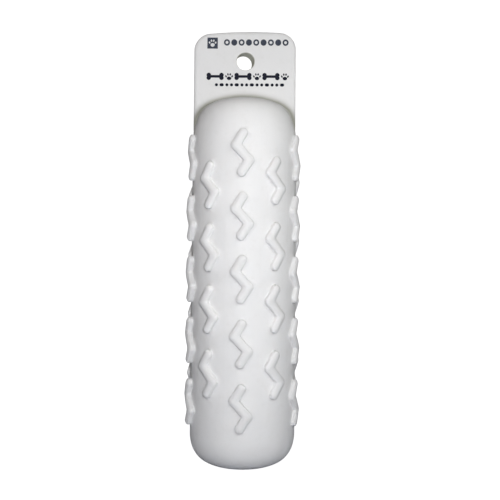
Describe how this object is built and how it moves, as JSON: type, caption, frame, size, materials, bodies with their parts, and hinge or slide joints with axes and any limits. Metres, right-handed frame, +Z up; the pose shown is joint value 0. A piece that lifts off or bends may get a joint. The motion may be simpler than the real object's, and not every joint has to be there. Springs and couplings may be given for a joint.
{
  "type": "dog training bumper",
  "caption": "Soft round-ended retriever training bumper with raised zigzag grip treads, a hard core and a flat tab with a throw-rope hole.",
  "frame": {"origin": "centre of the flat on the lower end, which is the bottom centre of the whole bumper's box", "axes": "+Z up the bumper's long axis towards the rope tab, +X along the tab's width, -Y is the tab's printed front face"},
  "size_m": [0.0802, 0.081, 0.305],
  "materials": {
    "cover_vinyl": "satin soft white vinyl",
    "tab_vinyl": "satin firm white vinyl",
    "foam": "matt cream closed-cell foam",
    "core_plastic": "hard natural plastic",
    "plug_plastic": "black moulded plastic",
    "pin_steel": "bright stainless"
  },
  "bodies": {
    "root": {"outer_cover": "cover_vinyl", "rope_tab": "tab_vinyl", "foam_half_front": "foam", "foam_half_rear": "foam", "core_tube": "core_plastic", "core_plug_top": "plug_plastic", "core_plug_bottom": "plug_plastic", "tab_pin_left": "pin_steel", "tab_pin_right": "pin_steel"}
  },
  "joints": []
}
